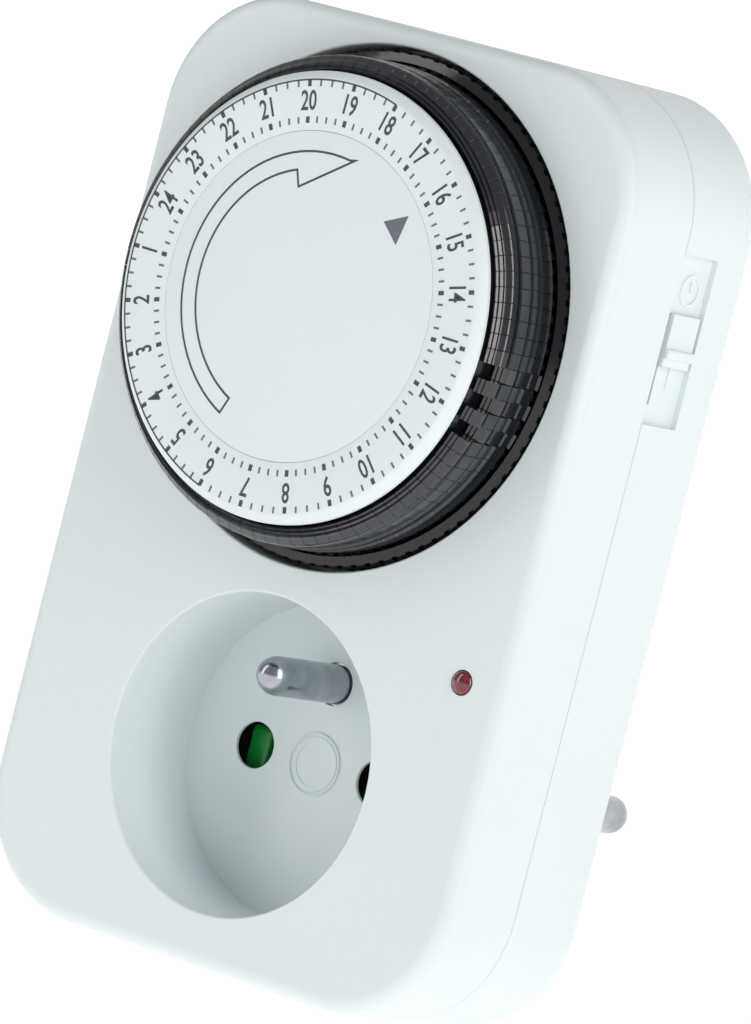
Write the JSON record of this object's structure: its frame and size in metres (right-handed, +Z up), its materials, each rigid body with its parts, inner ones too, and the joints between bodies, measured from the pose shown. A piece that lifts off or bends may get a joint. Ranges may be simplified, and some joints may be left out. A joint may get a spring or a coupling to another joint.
{
  "type": "plug in timer switch",
  "caption": "Plug-in mechanical day timer: a dial of tappets above a grounded socket, an override slider, an indicator lens and a plug behind.",
  "frame": {"origin": "on the housing's rear face, at the centre of the plug boss's root; the socket in the front is on the same axis", "axes": "+X to the viewer's right facing the dial, +Y from the front towards the wall along the plug's pins, +Z up towards the dial"},
  "size_m": [0.0724, 0.0773, 0.115],
  "materials": {
    "cover": "fine satin moulding, near white",
    "dial_white": "white, printed in dark grey",
    "tappet": "black, fine matte",
    "dial_black": "black, polished",
    "pin_metal": "nickel plate, satin",
    "brass": "bright brass",
    "copper_wire": "enamelled copper wire",
    "steel": "zinc-plated steel",
    "screw_steel": "plated steel",
    "magnet": "ferrite",
    "wheel_plastic": "natural acetal",
    "lever_plastic": "red acetal",
    "block_plastic": "dark grey thermoset",
    "bobbin_plastic": "glass-filled nylon",
    "shutter_green": "bright green",
    "lens_red": "tinted, domed",
    "lamp_glass": "clear",
    "resistor": "lacquered"
  },
  "bodies": {
    "housing": {"front_cover": "cover", "rear_cover": "cover", "socket_plate": "cover", "case_screws": "screw_steel", "earth_pin": "pin_metal", "line_pin": "pin_metal", "neutral_pin": "pin_metal", "earth_sleeve": "brass", "earth_strap": "pin_metal", "contact_block": "block_plastic", "line_clip": "brass", "neutral_clip": "brass", "neutral_link": "brass", "line_bar": "brass", "load_bar": "brass", "switch_base": "block_plastic", "lever_pin": "steel", "fixed_contact": "brass", "override_contacts": "brass", "terminal_block": "block_plastic", "dial_post": "wheel_plastic", "centre_disc": "dial_white", "gear_arbors": "steel", "gear_plate": "steel", "motor_plate": "steel", "plate_pillars": "steel", "module_screws": "screw_steel", "stator_cup": "steel", "coil_bobbin": "bobbin_plastic", "coil_winding": "copper_wire", "rotor_arbor": "steel", "indicator_lens": "lens_red", "neon_lamp": "lamp_glass", "lamp_resistor": "resistor"},
    "dial": {"number_ring": "dial_white", "dial_carrier": "dial_black", "tappets_up": "tappet"},
    "tappet_1145": {"tappet_1145": "tappet"},
    "tappet_1200": {"tappet_1200": "tappet"},
    "tappet_1215": {"tappet_1215": "tappet"},
    "tappet_1230": {"tappet_1230": "tappet"},
    "tappet_1245": {"tappet_1245": "tappet"},
    "drive": {"drive_pinion": "wheel_plastic"},
    "clutch": {"clutch_wheel": "wheel_plastic", "clutch_spring": "steel"},
    "second_wheel": {"wheel_second": "wheel_plastic"},
    "first_wheel": {"wheel_first": "wheel_plastic"},
    "rotor": {"rotor": "magnet"},
    "override": {"override_slider": "cover", "override_bridge": "brass"},
    "shutter": {"safety_shutter": "shutter_green"},
    "lever": {"sensing_lever": "lever_plastic"},
    "blade": {"contact_blade": "brass"}
  },
  "joints": [
    {"name": "dial_spin", "type": "hinge", "parent": "housing", "child": "dial", "pos_m": [0, -0.0265, 0.055], "axis": [0, 1, 0], "continuous": true},
    {"name": "drive_spin", "type": "hinge", "parent": "housing", "child": "drive", "pos_m": [0, -0.0255, 0.034], "axis": [0, 1, 0], "continuous": true},
    {"name": "rotor_spin", "type": "hinge", "parent": "housing", "child": "rotor", "pos_m": [0, -0.0085, 0.0615], "axis": [0, 1, 0], "continuous": true},
    {"name": "first_wheel_spin", "type": "hinge", "parent": "housing", "child": "first_wheel", "pos_m": [-0.01191, -0.0135, 0.05462], "axis": [0, 1, 0], "continuous": true},
    {"name": "second_wheel_spin", "type": "hinge", "parent": "housing", "child": "second_wheel", "pos_m": [-0.01191, -0.0145, 0.04088], "axis": [0, 1, 0], "continuous": true},
    {"name": "clutch_spin", "type": "hinge", "parent": "housing", "child": "clutch", "pos_m": [0, -0.0165, 0.034], "axis": [0, 1, 0], "continuous": true},
    {"name": "tappet_1145_slide", "type": "slide", "parent": "dial", "child": "tappet_1145", "axis": [0, -1, 0], "range_m": [0, 0.0025]},
    {"name": "tappet_1200_slide", "type": "slide", "parent": "dial", "child": "tappet_1200", "axis": [0, 1, 0], "range_m": [0, 0.0025]},
    {"name": "tappet_1215_slide", "type": "slide", "parent": "dial", "child": "tappet_1215", "axis": [0, -1, 0], "range_m": [0, 0.0025]},
    {"name": "tappet_1230_slide", "type": "slide", "parent": "dial", "child": "tappet_1230", "axis": [0, 1, 0], "range_m": [0, 0.0025]},
    {"name": "tappet_1245_slide", "type": "slide", "parent": "dial", "child": "tappet_1245", "axis": [0, -1, 0], "range_m": [0, 0.0025]},
    {"name": "override_slide", "type": "slide", "parent": "housing", "child": "override", "axis": [0, 0, -1], "range_m": [0, 0.0052]},
    {"name": "shutter_slide", "type": "slide", "parent": "housing", "child": "shutter", "axis": [1, 0, 0], "range_m": [0, 0.0061], "stiffness_N_per_m": 60, "springref_m": -0.001},
    {"name": "lever_tilt", "type": "hinge", "parent": "housing", "child": "lever", "pos_m": [0.025, -0.014, 0.029], "axis": [-1, 0, 0], "range_deg": [0, 8.8], "stiffness_Nm_per_rad": 0.02, "springref_deg": -5.73},
    {"name": "blade_bend", "type": "hinge", "parent": "housing", "child": "blade", "pos_m": [0.025, -0.0099, 0.0273], "axis": [-1, 0, 0], "range_deg": [0, 5.5]}
  ],
  "couplings": [
    {"joint": "drive_spin", "follows": "dial_spin", "ratio": 7},
    {"joint": "first_wheel_spin", "follows": "rotor_spin", "ratio": -0.22222},
    {"joint": "second_wheel_spin", "follows": "rotor_spin", "ratio": 0.049383},
    {"joint": "clutch_spin", "follows": "rotor_spin", "ratio": -0.010974},
    {"joint": "blade_bend", "follows": "lever_tilt", "ratio": 0.62}
  ]
}
